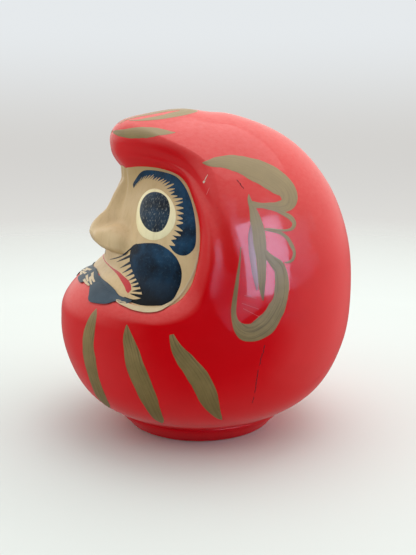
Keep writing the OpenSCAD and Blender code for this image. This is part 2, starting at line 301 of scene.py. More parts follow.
# ---- materials
def material(name, rough, specular=0.5, coat=0.0, coat_rough=0.1):
    """New material: its node tree and shader. Plain values are set on the shader's own sockets."""
    made = bpy.data.materials.new(name)
    made.use_nodes = True
    shader = made.node_tree.nodes["Principled BSDF"]
    for socket, value in (("Roughness", rough), ("Specular IOR Level", specular), ("Coat Weight", coat),
                          ("Coat Roughness", coat_rough)):
        shader.inputs[socket].default_value = value
    return made, made.node_tree, shader


def node(tree, kind, inputs=(), **settings):
    """Adds a node; inputs are (socket, value or source socket)."""
    made = tree.nodes.new(kind)
    for name, value in settings.items():
        setattr(made, name, value)
    for socket, value in inputs:
        if isinstance(value, bpy.types.NodeSocket):
            tree.links.new(value, made.inputs[socket])
        else:
            made.inputs[socket].default_value = value
    return made


def coords(tree, kind="Object"):
    return node(tree, "ShaderNodeTexCoord").outputs[kind]


def stretched(tree, source, scale):
    return node(tree, "ShaderNodeMapping", [("Vector", source), ("Scale", scale)]).outputs["Vector"]


def noise(tree, source, scale, detail=3.0, rough=0.55, distortion=0.0):
    made = node(tree, "ShaderNodeTexNoise", [("Vector", source), ("Scale", scale), ("Detail", detail),
                                             ("Roughness", rough), ("Distortion", distortion)])
    return made.outputs["Fac"]


def span(tree, value, low, high, to_low=0.0, to_high=1.0):
    """Maps low..high to to_low..to_high, held at the ends."""
    made = node(tree, "ShaderNodeMapRange", [("Value", value), ("From Min", low), ("From Max", high),
                                             ("To Min", to_low), ("To Max", to_high)])
    return made.outputs["Result"]


def maths(tree, operation, *values):
    return node(tree, "ShaderNodeMath", list(enumerate(values)), operation=operation).outputs[0]


def mix(tree, factor, first, second):
    """Mixes two colours; a plain colour is (r, g, b)."""
    made = node(tree, "ShaderNodeMix", data_type="RGBA")
    for socket, value in ((0, factor), (6, first), (7, second)):
        if isinstance(value, bpy.types.NodeSocket):
            tree.links.new(value, made.inputs[socket])
        else:
            made.inputs[socket].default_value = (*value, 1) if isinstance(value, tuple) else value
    return made.outputs[2]


def bump(tree, shader, relief, depth, into=("Normal",)):
    made = node(tree, "ShaderNodeBump", [("Height", relief), ("Distance", depth), ("Strength", 1.0)])
    for socket in into:
        tree.links.new(made.outputs["Normal"], shader.inputs[socket])


def facing_up(tree):
    """How far the surface faces up: 1 flat on top, 0 upright and -1 underneath."""
    normal = node(tree, "ShaderNodeNewGeometry").outputs["Normal"]
    return node(tree, "ShaderNodeSeparateXYZ", [("Vector", normal)]).outputs["Z"]


def height(tree):
    """Height above the table in metres."""
    return node(tree, "ShaderNodeSeparateXYZ", [("Vector", coords(tree))]).outputs["Z"]


def crackle(tree, source, scale, width):
    """Patchy network of fine cracks: 1 in a crack and 0 between. A noise stretches and shifts its cells."""
    wavy = node(tree, "ShaderNodeTexNoise", [("Vector", source), ("Scale", scale * 0.7), ("Detail", 2.0)])
    shift = node(tree, "ShaderNodeVectorMath", [(0, wavy.outputs["Color"]), ("Scale", 0.6 / scale)],
                 operation="SCALE")
    bent = node(tree, "ShaderNodeVectorMath",
                [(0, source), (1, wavy.outputs["Color"]), (2, shift.outputs[0])], operation="MULTIPLY_ADD")
    cells = node(tree, "ShaderNodeTexVoronoi", [("Vector", bent.outputs[0]), ("Scale", scale)],
                 feature="DISTANCE_TO_EDGE")
    return span(tree, cells.outputs["Distance"], 0.0, width, 1.0, 0.0)


def lacquer(name, deep, bright, sheen_and_dust_colour, coat=0.42):
    """Glossy red over paper: clouded, sheen and dust painted on top, dark specks, waves and fine cracks."""
    made, tree, shader = material(name, 0.5, specular=0.02, coat=coat, coat_rough=0.04)
    place = coords(tree)
    cloud = span(tree, noise(tree, place, 14, 4), 0.3, 0.7)
    colour = mix(tree, cloud, deep, bright)
    # The upper side is paler: painted sheen of the light from above, mixed with dust in fine scuffs
    scuff = noise(tree, stretched(tree, place, (1, 1, 1.6)), 240, 5, 0.7)
    dust_and_sheen = maths(tree, "MULTIPLY", span(tree, facing_up(tree), 0.15, 0.95),
                  span(tree, scuff, 0.25, 0.75, 0.55, 1.0))
    colour = mix(tree, dust_and_sheen, colour, sheen_and_dust_colour)
    specks = node(tree, "ShaderNodeTexVoronoi", [("Vector", place), ("Scale", 95.0)], feature="F1")
    spot = maths(tree, "MULTIPLY", span(tree, specks.outputs["Distance"], 0.03, 0.07, 1.0, 0.0),
                 span(tree, noise(tree, place, 40, 2), 0.58, 0.66))
    colour = mix(tree, maths(tree, "MULTIPLY", spot, 0.6), colour, (0.09, 0.0, 0.005))
    tree.links.new(colour, shader.inputs["Base Color"])
    cracks = maths(tree, "MULTIPLY", crackle(tree, place, 340, 0.045),
                   span(tree, noise(tree, place, 22, 2), 0.43, 0.58))
    waves = maths(tree, "MULTIPLY", noise(tree, place, 45, 3), 1.2)
    relief = maths(tree, "SUBTRACT", waves, cracks)
    bump(tree, shader, relief, 0.02 * MM, ("Normal", "Coat Normal"))
    return made


def brushed_paint(name, thin, thick, thinnest, rough, specular=0.4, streak=(2.0, 90.0, 1.0),
                  relief=0.08 * MM, above=None, below=None, low=None, shows=(0.56, 0.74)):
    """Paint laid by a brush: streaks along the stroke, with thin places showing.

    above and below paint highlight and shade on what faces up and down, and low paints shade low on the doll.
    """
    made, tree, shader = material(name, rough, specular=specular)
    place = coords(tree, "UV")
    hairs = noise(tree, stretched(tree, place, streak), 1.0, 4, 0.6)
    cloud = noise(tree, coords(tree), 60, 4, 0.6)
    colour = mix(tree, span(tree, cloud, 0.35, 0.65), thin, thick)
    colour = mix(tree, span(tree, hairs, *shows, 0.0, 0.75), colour, thinnest)
    # Painted highlight: paler where the paint faces up
    if above:
        colour = mix(tree, span(tree, facing_up(tree), 0.1, 0.8, 0.0, 0.75), colour, above)
    # Painted shade: darker where the paint faces down
    if below:
        colour = mix(tree, span(tree, facing_up(tree), -0.05, -0.55, 0.0, 0.7), colour, below)
    # Painted shade: darker towards the bottom of the doll
    if low:
        colour = mix(tree, span(tree, height(tree), 0.144, 0.116, 0.0, 0.9), colour, low)
    tree.links.new(colour, shader.inputs["Base Color"])
    tree.links.new(span(tree, hairs, 0.3, 0.7, rough - 0.06, rough + 0.1), shader.inputs["Roughness"])
    bump(tree, shader, maths(tree, "ADD", hairs, noise(tree, coords(tree), 420, 3)), relief)
    return made


def aged_cream(name, light, shade, stain_and_shade, hood_shade=0.0):
    """Cream paint, clouded and brushed with stains, with painted shade underneath and under the hood."""
    made, tree, shader = material(name, 0.38, specular=0.35)
    place = coords(tree)
    colour = mix(tree, span(tree, noise(tree, place, 24, 4, 0.6), 0.35, 0.68), light, shade)
    strokes = noise(tree, stretched(tree, place, (1, 1, 0.22)), 260, 4, 0.6, 0.4)
    colour = mix(tree, span(tree, strokes, 0.5, 0.78, 0.0, 0.35), colour, stain_and_shade)
    # Painted shade: darker where the cream faces down
    under = maths(tree, "MULTIPLY", span(tree, facing_up(tree), 0.0, -0.8), 0.5)
    colour = mix(tree, under, colour, stain_and_shade)
    # Painted shade under the hood: darker towards the top of the face
    colour = mix(tree, span(tree, height(tree), 0.17, 0.2, 0.0, hood_shade), colour, stain_and_shade)
    tree.links.new(colour, shader.inputs["Base Color"])
    bump(tree, shader, maths(tree, "ADD", strokes, noise(tree, place, 70, 4)), 0.18 * MM)
    return made


def rough_body(name, light, dark, scale, depth):
    """Matt clay, paper or gesso with grain."""
    made, tree, shader = material(name, 0.9, specular=0.2)
    place = coords(tree)
    grain = noise(tree, place, scale, 5, 0.65)
    tree.links.new(mix(tree, span(tree, grain, 0.3, 0.7), light, dark), shader.inputs["Base Color"])
    bump(tree, shader, grain, depth)
    return made


# Each last colour is the paler red of the painted sheen and dust on the upper side
RED = lacquer("red_lacquer", (0.64, 0.0008, 0.004), (0.71, 0.002, 0.008), (0.80, 0.14, 0.13))
FOOT_RED = lacquer("foot_lacquer", (0.60, 0.0008, 0.008), (0.66, 0.002, 0.010), (0.66, 0.02, 0.02), coat=0.15)
# The face's cream gets painted shade under the hood
CREAM = aged_cream("aged_cream", (0.74, 0.56, 0.32), (0.64, 0.455, 0.225), (0.42, 0.28, 0.105), hood_shade=0.7)
CREAM_LINE = aged_cream("cream_edge", (0.70, 0.57, 0.37), (0.62, 0.49, 0.29), (0.50, 0.38, 0.2))
EYE_WHITE = aged_cream("eye_white", (1.0, 0.93, 0.61), (0.97, 0.87, 0.51), (0.68, 0.58, 0.28))
# Gold paler on top and darker beneath, in painted highlight and shade
GOLD = brushed_paint("dull_gold", (0.30, 0.22, 0.088), (0.22, 0.165, 0.062), (0.10, 0.072, 0.026), 0.45,
                     specular=0.15, streak=(2.0, 16.0, 1.0), shows=(0.5, 0.68),
                     above=(0.42, 0.33, 0.20), below=(0.17, 0.115, 0.03))
DRY_GOLD = brushed_paint("dry_gold", (0.30, 0.12, 0.10), (0.24, 0.10, 0.09), (0.42, 0.05, 0.06), 0.45,
                         streak=(3.0, 30.0, 1.0))
# Ink darker towards the bottom of the doll, in painted shade
INK = brushed_paint("blue_black", (0.010, 0.058, 0.130), (0.002, 0.009, 0.022), (0.045, 0.105, 0.165), 0.34,
                    specular=0.12, streak=(9.0, 9.0, 9.0), low=(0.001, 0.002, 0.003))
# Its pale grey streaks stand for thin places in the brushed black and, in part, for painted sheen on the
# brush marks
PUPIL = brushed_paint("pupil_black", (0.012, 0.042, 0.085), (0.004, 0.010, 0.020), (0.34, 0.36, 0.33), 0.36,
                      specular=0.15, streak=(16.0, 6.0, 9.0), relief=0.14 * MM, shows=(0.54, 0.7))
SLATE = brushed_paint("slate_beard", (0.058, 0.095, 0.13), (0.038, 0.066, 0.095), (0.09, 0.13, 0.17), 0.42,
                      specular=0.15, streak=(12.0, 12.0, 12.0))
LIP_RED = brushed_paint("lip_red", (0.58, 0.008, 0.018), (0.48, 0.004, 0.012), (0.62, 0.03, 0.03), 0.35)
CRACK = rough_body("crack", (0.10, 0.001, 0.004), (0.05, 0.001, 0.003), 900, 0.1 * MM)
GESSO = rough_body("bare_gesso", (0.78, 0.68, 0.58), (0.66, 0.50, 0.42), 700, 0.1 * MM)
SCRATCH = rough_body("scratch", (0.74, 0.22, 0.22), (0.66, 0.12, 0.13), 600, 0.1 * MM)
CLAY = rough_body("base_clay", (0.30, 0.24, 0.18), (0.20, 0.155, 0.115), 90, 0.6 * MM)
PAPER = rough_body("pasted_paper", (0.60, 0.50, 0.34), (0.48, 0.38, 0.24), 160, 0.3 * MM)

# The inner pieces keep the CAD's own meshes
for name, finish in (("base_weight", CLAY), ("bottom_disc", PAPER), ("seam_tape_left", PAPER),
                     ("seam_tape_right", PAPER), ("seam_tape_crown", PAPER)):
    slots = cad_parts[name].data.materials
    slots.clear()
    slots.append(finish)


# ---- meshes
def ring_faces(rings, n, closed=False):
    """Quads between rings of n points; closed joins the last ring to the first."""
    k = np.arange(rings if closed else rings - 1)[:, None]
    i = np.arange(n)[None, :]
    j, up = (i + 1) % n, (k + 1) % rings
    return np.stack([k * n + i, up * n + i, up * n + j, k * n + j], -1).reshape(-1, 4).tolist()


def tip_faces(ring_start, n, tip):
    """Triangles from a ring of n points to a tip."""
    return [[tip, ring_start + i, ring_start + (i + 1) % n] for i in range(n)]


def add_piece(name, parts, finish, stands_for=()):
    """One object from closed parts, each (points, faces, uv or None); it rides on the doll's one body."""
    build = bmesh.new()
    uv_layer = build.loops.layers.uv.new("UVMap")
    for points, faces, uv in parts:
        verts = [build.verts.new(p) for p in np.asarray(points).tolist()]
        for face in faces:
            made = build.faces.new([verts[int(k)] for k in face])
            made.smooth = True
            if uv is not None:
                for loop, k in zip(made.loops, face):
                    loop[uv_layer].uv = uv[int(k)]
    bmesh.ops.recalc_face_normals(build, faces=build.faces)
    mesh = bpy.data.meshes.new(name)
    build.to_mesh(mesh)
    build.free()
    mesh.set_sharp_from_angle(angle=np.radians(40))
    mesh.materials.append(finish)
    piece = bpy.data.objects.new(name, mesh)
    bpy.context.scene.collection.objects.link(piece)
    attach(piece, "root")
    for stand_in in stands_for:
        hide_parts(stand_in)
    return piece


def mirrored(parts):
    return [(np.asarray(p) * [-1, 1, 1], faces, uv) for p, faces, uv in parts]


def add_pair(name, parts, finish, stands_for=None):
    for side, side_parts in (("left", parts), ("right", mirrored(parts))):
        add_piece(f"{side}_{name}", side_parts, finish, [f"{side}_{stands_for}"] if stands_for else ())


# ---- shells, face panel and foot
# Points along the outer edge of a half, and rings of its outside and inside
SEAM_STEPS, CREASE_STEPS = 110, 140
SKIN_RINGS, LIP_RINGS, FRONT_INNER_RINGS = 91, 37, 24
REAR_RINGS, REAR_INNER_RINGS = 71, 16
# Points round the face panel, its rings, the front rings that the back follows, and the margin in degrees
# that hides behind the lip
FACE_STEPS, FACE_RINGS, FACE_BACK_RINGS, FACE_MARGIN = 480, 91, (80, 64, 44, 22, 0), 1.3


def half_edge(facing):
    """Directions of a half's outer edge: up one side of the seam, down the other, and along the crease."""
    climbs = np.linspace(crease_climb(90.0), 90, SEAM_STEPS + 1)
    turns = -90 + facing * 180 * np.arange(1, CREASE_STEPS) / CREASE_STEPS
    seam = [heading(90, climbs), heading(-90, climbs[::-1][1:])]
    return np.concatenate(seam + [heading(turns, crease_climb(turns))])


def inner_skin(outer, count):
    """Coarser rings one wall inside the outer ones, trimmed flat at the seam and the crease."""
    along = np.gradient(outer, axis=0)
    around = np.roll(outer, -1, 1) - np.roll(outer, 1, 1)
    normals = unit(np.cross(around, along))
    normals *= np.sign(np.sum(normals * (outer - CORE), -1, keepdims=True))
    pick = np.unique(np.round(np.linspace(0, len(outer) - 1, count)).astype(int))
    inner = (outer - WALL * normals)[pick]
    i = np.arange(outer.shape[1])
    inner[0, i <= 2 * SEAM_STEPS, 1] = SEAM_Y
    inner[0, (i >= 2 * SEAM_STEPS) | (i == 0), 2] = FOOT_H
    return inner


def front_shell():
    """Front half with its rolled lip, from the seam and crease over the crest to the edge of the face."""
    edge = half_edge(1)
    turns = fan_turn(FACE_UP, edge)
    far, rim, crest = fan_out(FACE_AXIS, edge), edge_out(turns), crest_out(turns)
    skin_share = np.linspace(0, 1, SKIN_RINGS)[:, None]
    roll = np.linspace(0, 90, LIP_RINGS)[1:, None]
    roll_share = 1 - sind(roll) ** smooth(LIP_SHARP, folded(turns))
    outs = np.concatenate([far + (crest - far) * skin_share,
                           rim + (crest - rim) * np.maximum(roll_share, 1e-5)])
    d = fan(FACE_AXIS, FACE_UP, turns[None], outs)
    d[0] = edge
    outer = CORE + outer_distance(d)[..., None] * d
    rings = np.concatenate([outer, inner_skin(outer, FRONT_INNER_RINGS)[::-1]])
    return rings.reshape(-1, 3), ring_faces(len(rings), len(edge), True), None


def rear_shell():
    """Rear half, from the seam and crease to the middle of the back."""
    edge = half_edge(-1)
    turns, far = fan_turn(REAR_UP, edge), fan_out(REAR_AXIS, edge)
    share = np.linspace(1, 0, REAR_RINGS)[:-1, None]
    d = fan(REAR_AXIS, REAR_UP, turns[None], far * share)
    d[0] = edge
    outer = skin_point(d)
    rings = np.concatenate([inner_skin(outer, REAR_INNER_RINGS)[::-1], outer])
    tip = skin_point(REAR_AXIS[None])[0]
    points = np.concatenate([rings.reshape(-1, 3), [tip, tip - [0, WALL, 0]]])
    n = len(edge)
    caps = tip_faces((len(rings) - 1) * n, n, len(points) - 2) + tip_faces(0, n, len(points) - 1)
    return points, ring_faces(len(rings), n) + caps, None


def face_panel():
    """Face behind the lip, with its margin and a coarser back."""
    turns = np.linspace(-180, 180, FACE_STEPS, endpoint=False)
    share = np.linspace(0, 1, FACE_RINGS)[1:, None]
    d = fan(FACE_AXIS, FACE_UP, turns[None], edge_out(turns) * share)
    front = CORE + (face_distance(d) + frown(d))[..., None] * d
    margin_d = fan(FACE_AXIS, FACE_UP, turns, edge_out(turns) + FACE_MARGIN)
    margin = CORE + lip_end_distance(turns)[:, None] * margin_d
    back = [margin - WALL * margin_d] + [front[k] - WALL * d[k] for k in FACE_BACK_RINGS]
    rings = np.concatenate([front, margin[None], np.array(back)])
    middle = face_point(FACE_AXIS[None])[0]
    points = np.concatenate([rings.reshape(-1, 3), [middle, middle - WALL * FACE_AXIS]])
    n = len(turns)
    caps = tip_faces(0, n, len(points) - 2) + tip_faces((len(rings) - 1) * n, n, len(points) - 1)
    return points, ring_faces(len(rings), n) + caps, None


# How deep a mound's underside lies in the face, and the points round it
MOUND_SINK, MOUND_STEPS = 1.5 * MM, 160


def domed(shares, heading_of, rise_of):
    """Closed mound on the face: rings out from its middle, then an underside sunk into the face."""
    n = MOUND_STEPS
    angles = np.linspace(0, 360, n, endpoint=False)
    rings = []
    for share in shares:
        d = heading_of(share, angles)
        rings.append(CORE + (face_distance(d) + frown(d) + rise_of(d))[:, None] * d)
    for share in (1, 0.5):
        d = heading_of(share, angles)
        rings.append(CORE + (face_distance(d) - MOUND_SINK)[:, None] * d)
    middle = heading_of(0, np.zeros(1))
    top = CORE + (face_distance(middle) + frown(middle) + rise_of(middle))[:, None] * middle
    low = CORE + (face_distance(middle) - MOUND_SINK)[:, None] * middle
    rings = np.array(rings)
    points = np.concatenate([rings.reshape(-1, 3), top, low])
    caps = tip_faces(0, n, len(points) - 2) + tip_faces((len(rings) - 1) * n, n, len(points) - 1)
    return points, ring_faces(len(rings), n) + caps, None


NOSE_MID, NOSE_HALF_H, NOSE_HALF_W, NOSE_FLARE = 25, 18, 29, 17
NOSE_SINK = 0.06 * MM


def nose_heading(share, angle):
    """Direction of a point of the nose's pear-shaped outline, share of the way out from its middle."""
    across = np.sign(cosd(angle)) * np.abs(cosd(angle)) ** 0.6
    turn = (NOSE_HALF_W - NOSE_FLARE * sind(angle)) * share * across
    return heading(turn, NOSE_MID + NOSE_HALF_H * share * sind(angle))


def nose_height(d):
    return nose_rise(d) - NOSE_SINK


def eye_heading(share, angle):
    rise = EYE_HALF_H * share * sind(angle)
    return heading(EYE_TURN + EYE_HALF_W * share * cosd(angle) - EYE_LEAN * rise, EYE_CLIMB + rise)


def eye_share(d):
    """How far out of the eye's middle directions d lie: 1 at its rim."""
    rise = climb_of(d) - EYE_CLIMB
    across = turn_of(d) - EYE_TURN + EYE_LEAN * rise
    return np.hypot(across / EYE_HALF_W, rise / EYE_HALF_H)


def eye_height(d):
    return EYE_RISE * MM * np.maximum(0, 1 - eye_share(d) ** 2) ** 0.75


def eye_distance(d):
    return face_distance(d) + frown(d) + eye_height(d)


def foot_ring():
    """Leaning ring with a soft ridge at the crease and a rounded lower edge."""
    n = 180
    foot_r, edge_r, wall = foot_high.x - 7.5 * MM, 3 * MM, 7 * MM
    low = [(foot_r - edge_r + edge_r * cosd(a), edge_r + edge_r * sind(a)) for a in np.linspace(-90, -10, 7)]
    ridge = [(CREASE_R - 1.9 * MM, 8.2 * MM), (CREASE_R - 0.7 * MM, 10.6 * MM),
             (CREASE_R - 0.05 * MM, 11.9 * MM), (CREASE_R, 12.4 * MM), (CREASE_R - 0.3 * MM, FOOT_H),
             (CREASE_R - wall - 2 * MM, FOOT_H)]
    outline = np.array([(foot_r - wall, 0)] + low + ridge)
    angles = np.linspace(0, 360, n, endpoint=False)
    wander = 1 + 0.0018 * np.sin(np.radians(3 * angles + 40)) * np.sin(np.radians(5 * angles))
    rings = [np.stack([r * cosd(angles) * wander, r * sind(angles) * wander, np.full(n, z)], -1)
             for r, z in outline]
    return np.concatenate(rings), ring_faces(len(rings), n, True), None


add_piece("front_shell_lacquered", [front_shell()], RED, ["front_shell", "hood_lip"])
add_piece("rear_shell_lacquered", [rear_shell()], RED, ["rear_shell"])
add_piece("foot_ring_lacquered", [foot_ring()], FOOT_RED, ["foot_ring"])
add_piece("face_panel_painted", [face_panel()], CREAM, ["face_panel"])
nose_shares = np.linspace(0, 1, 61)[1:]
eye_shares = 1 - np.linspace(1, 0, 41)[1:] ** 1.6
add_piece("nose_painted", [domed(nose_shares, nose_heading, nose_height)], CREAM, ["nose"])
add_pair("eye_white", [domed(eye_shares, eye_heading, eye_height)], EYE_WHITE, "eye")


# ---- paint
# How far paint stands up in its middle and at its edge, and how far it sinks into what it lies on
PAINT_TOP, PAINT_EDGE, PAINT_SINK = 0.13 * MM, 0.05 * MM, 0.12 * MM
# A stroke's width varies by this share, drawn anew every few points; its least half width is in mm
WOBBLE, WOBBLE_EVERY, THINNEST = 0.05, 4, 0.12
# What one unit of a UV map is: along a stroke in metres, across it in mm, and in a patch in degrees
UV_ALONG, UV_ACROSS, UV_PATCH = 0.1, 20, 10


def curve(points, spacing=0.6, closed=False):
    """Smooth path through points (turn, climb, ...), about spacing degrees apart."""
    p = np.array(points, float)
    p = np.concatenate([p[-1:], p, p[:2]] if closed else [[2 * p[0] - p[1]], p, [2 * p[-1] - p[-2]]])
    out = []
    for a, b, c, e in zip(p[:-3], p[1:-2], p[2:-1], p[3:]):
        n = max(1, int(np.ceil(np.linalg.norm((c - b)[:2]) / spacing)))
        t = (np.arange(n) / n)[:, None]
        out.append(b + 0.5 * t * (c - a + t * (2 * a - 5 * b + 4 * c - e + t * (3 * (b - c) + e - a))))
    return np.concatenate(out if closed else out + [p[-2:-1]])


def stroke(points, distance=outer_distance, lift=0.0, columns=9):
    """Closed strip of paint along points (turn, climb, half width in mm); lift raises it over other paint."""
    turn, climb, half = curve(points).T
    n = len(turn)
    knots = np.arange(0, n + WOBBLE_EVERY, WOBBLE_EVERY)
    wobble = np.interp(np.arange(n), knots, rng.uniform(-1, 1, len(knots)))
    half = np.maximum(half, THINNEST) * (1 + WOBBLE * wobble)
    d = heading(turn, climb)
    middle = CORE + distance(d)[:, None] * d
    side = unit(np.cross(np.gradient(middle, axis=0), d))
    across = np.linspace(-1, 1, columns)
    reach = unit(middle[:, None] + side[:, None] * (half * MM)[:, None, None] * across[None, :, None] - CORE)
    r = distance(reach)
    rise = PAINT_EDGE + (PAINT_TOP - PAINT_EDGE) * (1 - across ** 4) + lift
    top = CORE + (r + rise)[..., None] * reach
    low = CORE + (r - PAINT_SINK)[..., None] * reach
    rings = np.concatenate([top, low[:, ::-1]], 1)
    along = np.concatenate([[0], np.cumsum(np.linalg.norm(np.diff(middle, axis=0), axis=1))]) / UV_ALONG
    width = np.concatenate([across, across[::-1]])[None, :] * half[:, None] / UV_ACROSS
    uv = np.stack([np.broadcast_to(along[:, None], width.shape), width], -1).reshape(-1, 2)
    m = 2 * columns
    caps = [list(range(m)), list(range((n - 1) * m, n * m))]
    return rings.reshape(-1, 3), ring_faces(n, m) + caps, uv


def inside(points, outline):
    """Whether each point lies inside a closed outline."""
    x, y = points.T
    x0, y0 = outline.T
    x1, y1 = np.roll(outline, -1, 0).T
    crosses = (y0[None] > y[:, None]) != (y1[None] > y[:, None])
    at = x0 + (y[:, None] - y0) * (x1 - x0) / np.where(y1 == y0, 1e-9, y1 - y0)
    return (np.sum(crosses & (x[:, None] < at), 1) % 2).astype(bool)


def patch(outline, distance=outer_distance, spacing=0.9, lift=0.0):
    """Closed sheet of paint inside an outline of (turn, climb)."""
    outline = np.array(outline, float)
    low, high = outline.min(0), outline.max(0)
    rows = np.arange(low[1], high[1], spacing * 0.87)
    grid = np.array([(x + (k % 2) * spacing / 2, y) for k, y in enumerate(rows)
                     for x in np.arange(low[0], high[0], spacing)])
    grid = grid[inside(grid, outline)]
    gap = np.min(np.linalg.norm(grid[:, None] - outline[None], axis=2), 1)
    flat = np.concatenate([outline, grid[gap > spacing * 0.4]])
    n = len(outline)
    verts, _, faces, *_ = delaunay_2d_cdt([Vector(p) for p in flat], [], [list(range(n))], 1, 1e-6)
    flat = np.array([tuple(v) for v in verts])
    faces = [list(f) for f in faces]
    edges = dict.fromkeys((a, b) for f in faces for a, b in zip(f, f[1:] + f[:1]))
    rim = [(a, b) for a, b in edges if (b, a) not in edges]
    on_rim = np.zeros(len(flat), bool)
    on_rim[[a for a, _ in rim]] = True
    d = heading(flat[:, 0], flat[:, 1])
    r = distance(d)
    top = CORE + (r + lift + np.where(on_rim, PAINT_EDGE, PAINT_TOP))[:, None] * d
    under = CORE + (r - PAINT_SINK)[:, None] * d
    m = len(flat)
    all_faces = faces + [[k + m for k in f[::-1]] for f in faces] + [[b, a, a + m, b + m] for a, b in rim]
    uv = np.concatenate([flat, flat]) / UV_PATCH
    return np.concatenate([top, under]), all_faces, uv


# Share of a tooth that is flat at its tip, how far a tooth may shift, and how far it may reach
COMB_FLAT, COMB_JITTER, COMB_REACH = 0.22, 0.4, (0.62, 1.12)


def comb(roots, tips, count):
    """Zigzag between two paths: sharp at the roots, with short flats at the tips."""
    roots, tips = curve(roots, 0.2), curve(tips, 0.2)
    out = []
    for k in range(count):
        shift, reach = rng.uniform(-COMB_JITTER, COMB_JITTER), rng.uniform(*COMB_REACH)
        at = (k + 0.5 + shift * 0.6) / count
        out.append(roots[int((k + 0.02) / count * (len(roots) - 1))])
        root = roots[int(at * (len(roots) - 1))]
        for edge in (-COMB_FLAT / 2, COMB_FLAT / 2):
            tip = tips[int(np.clip(at + edge / count, 0, 1) * (len(tips) - 1))]
            out.append(root + (tip - root) * reach)
    out.append(roots[-1])
    return np.array(out)


def straight(start, end, wide, narrow):
    """Tapering hair from start to end, each (turn, climb)."""
    (t0, c0), (t1, c1) = start, end
    return [(t0, c0, wide), ((t0 + t1) / 2, (c0 + c1) / 2, (wide + narrow) * 0.55), (t1, c1, narrow)]


# Eyes and brows
PUPIL_RIM = [(34, 31), (36.5, 26.5), (42, 22), (47.5, 20), (52, 20.8), (54.2, 24.5), (54.1, 29.5), (51.4, 34),
             (47, 36.6), (42, 37.4), (37.5, 36.7), (34.6, 34.5)]
BROW_OUTER = [(20, 39.5), (18.8, 41), (22, 43.1), (27, 45.3), (33, 46.2), (41.5, 46.3), (50, 45.2),
              (55, 43.2), (59.2, 39.8), (62.4, 35.6), (64.8, 30.8), (66.4, 25.5), (67.3, 20), (67.2, 15),
              (65.3, 12.2), (62.5, 11.2), (59, 12.2), (56, 15)]
BROW_ROOTS = [(56, 15), (57.2, 19.5), (57.9, 23.5), (57.2, 28.5), (54.5, 33.5), (50, 37.8), (44, 41.5),
              (38, 42.8), (31.5, 43.2), (26, 42.2), (20, 39.5)]
BROW_TIPS = [(58, 14), (60.5, 18.5), (61.8, 23), (61.5, 28), (59.5, 33), (55.5, 38), (49, 43), (42, 44.9),
             (34, 44.8), (28, 44), (22, 41.5)]
add_pair("pupil_paint", [patch(curve(PUPIL_RIM, 0.35, closed=True), eye_distance)], PUPIL)
brow = np.concatenate([curve(BROW_OUTER, 0.35), comb(BROW_ROOTS, BROW_TIPS, 27)[1:-1]])
add_pair("brow_paint", [patch(brow)], INK)

# Moustache: a thin line from under the nose into a round patch on the cheek, with hairs towards the mouth
MOUSTACHE = [(32.5, 12.6), (36, 14.3), (41, 15.1), (46.5, 15.5), (50.5, 15.3), (54, 14.2), (57.5, 12.3),
             (60.3, 9.7), (62, 6.5), (62.4, 3.5), (62, 0.5), (61, -2.2), (59.5, -4.9), (57, -6.8),
             (53, -7.5), (48, -7.9), (43, -7.6), (38, -6.9), (38.5, -6.4), (43, -6.6), (46.3, -5.6),
             (45, -3.4), (42.5, -1.4), (39, 0.6), (36.5, 2.6), (34.6, 4.8), (33, 7.5)]
MOUSTACHE_HAIRS = [((33.5, 9), (20, 4.2)), ((34, 6), (25, 2.1)), ((35.6, 4.1), (28.8, 0.6)),
                   ((37.5, 2.2), (32.8, -0.2)), ((39.5, 0.7), (36, -1.2)), ((41.6, -0.6), (38.4, -2)),
                   ((43.5, -1.9), (40, -2.9)), ((45.2, -3.4), (41, -4.2)), ((46.5, -5.3), (40.5, -5.1))]
MOUSTACHE_LINE = [(8.5, 3.5, 0.2), (15, 5, 0.35), (21, 6.6, 0.45), (28, 9.1, 0.5), (31.3, 11.4, 0.6),
                  (34, 13.4, 0.7), (37, 14.4, 0.6)]
hairs = [stroke(straight(a, b, 1.1, 0.15), columns=5) for a, b in MOUSTACHE_HAIRS]
add_pair("moustache_paint", [patch(curve(MOUSTACHE, 0.35, closed=True))], INK)
add_pair("moustache_hairs", hairs + [stroke(MOUSTACHE_LINE, columns=5)], INK)

# Mouth, beard and the cream line along the lower edge of the face
MOUTH = [(0, 0.9, 0.3), (9, 0.8, 0.35), (16.5, 0.6, 0.4), (25, 0.1, 0.8), (31.2, -1, 1.2), (36, -2.3, 1.9),
         (38.3, -3.5, 2.1), (39.7, -4.5, 1.3)]
add_pair("mouth_paint", [stroke(MOUTH, columns=7)], LIP_RED)
BEARD_HALF = [(0, -2.2), (5, -2.5), (12.4, -3.1), (19, -3.5), (25.4, -3.9), (31, -4.8), (35, -6.1),
              (38.6, -6.5), (42.5, -6.9), (41, -7.7), (38, -7.5), (36.3, -7.3), (33.6, -8.2), (31, -8.6),
              (27, -8.9), (24, -9), (21.9, -8.5), (20, -7.3), (16.5, -5.9), (13.3, -5.3), (9, -5.3),
              (5, -6.2), (0, -6.3)]
beard = np.concatenate([curve(BEARD_HALF, 0.35), curve([(-t, c) for t, c in BEARD_HALF[::-1]], 0.35)[1:-1]])
add_piece("beard_paint", [patch(beard, bridging_distance, spacing=0.3, lift=0.2 * MM)], SLATE)
BEARD_HAIRS = [((3, -3.2), (15.5, -4.5)), ((7, -4), (16, -5.2)), ((2, -4.3), (11, -5)),
               ((5, -5.2), (15, -5.6))]
beard_hairs = [stroke(straight(a, b, 0.45, 0.25), bridging_distance, lift=0.4 * MM, columns=5)
               for a, b in BEARD_HAIRS]
add_pair("beard_hairs", beard_hairs, CREAM_LINE)
